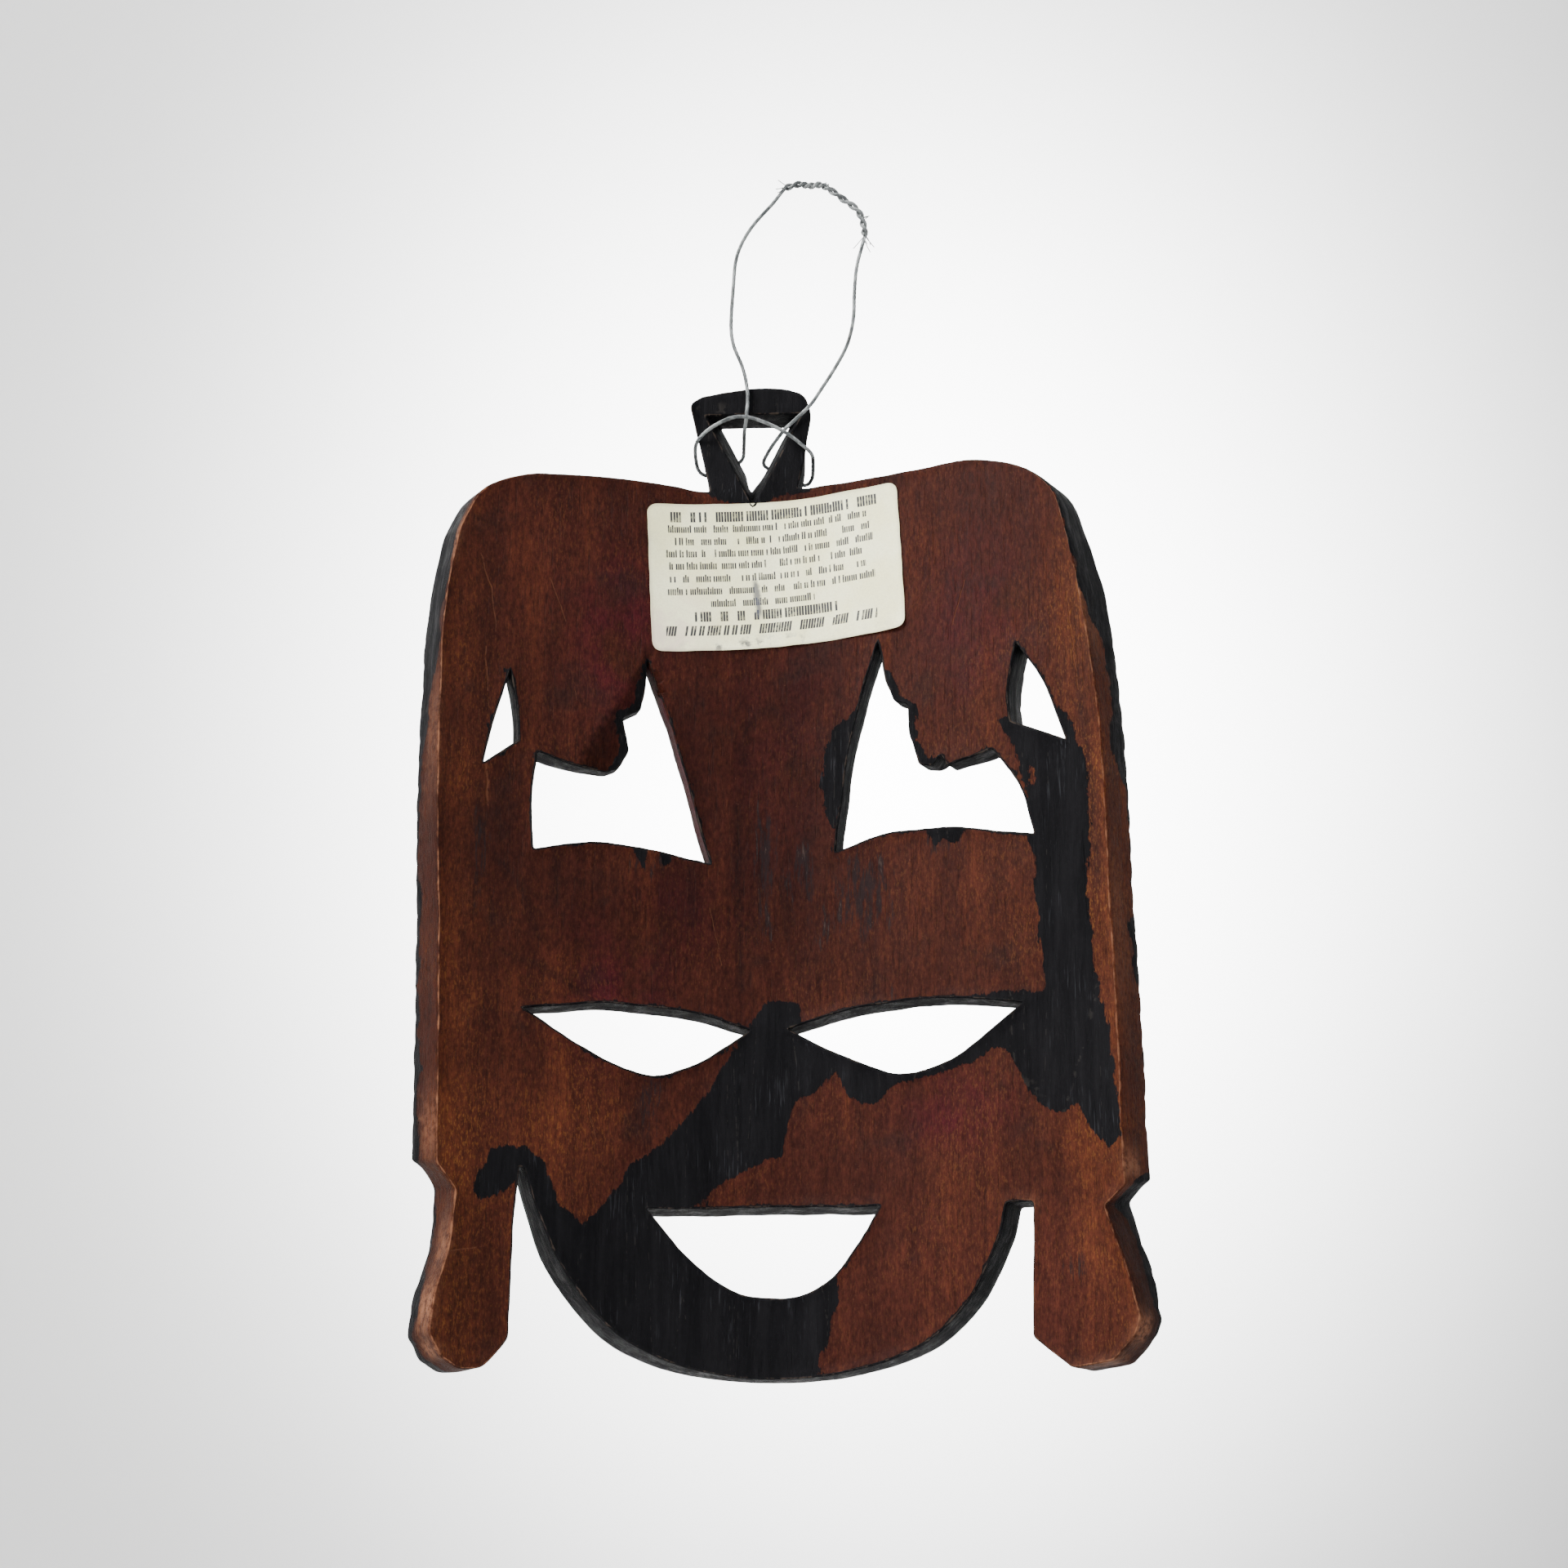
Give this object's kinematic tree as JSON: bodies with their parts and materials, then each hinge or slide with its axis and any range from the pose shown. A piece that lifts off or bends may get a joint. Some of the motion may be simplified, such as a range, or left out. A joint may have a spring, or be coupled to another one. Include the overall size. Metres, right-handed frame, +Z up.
{
  "type": "carved wooden mask",
  "caption": "Hollow-backed carved wooden wall mask with pierced windows, eyes and mouth, ear pendants and a topknot, hung from a twisted wire loop, with a paper label on its back.",
  "frame": {"origin": "where the nail sits, inside the top of the wire loop", "axes": "+Z up; the carved face looks to -Y and the hollow back to +Y; +X is on the left as one looks at the back"},
  "size_m": [0.239, 0.068, 0.4385],
  "materials": {
    "carved_wood": "red-brown stain with black paint, worn edges, satin",
    "hanger_steel": "stranded, dull grey",
    "label_paper": "matt aged paper with grey print"
  },
  "bodies": {
    "hanger": {"hanger_wire": "hanger_steel"},
    "mask": {"mask_board": "carved_wood", "paper_label": "label_paper"}
  },
  "joints": [
    {"name": "hanger_swing", "type": "hinge", "parent": "hanger", "child": "mask", "pos_m": [0.0135, -0.0082, -0.1002], "axis": [1, 0, 0], "range_deg": [0, 25]}
  ]
}
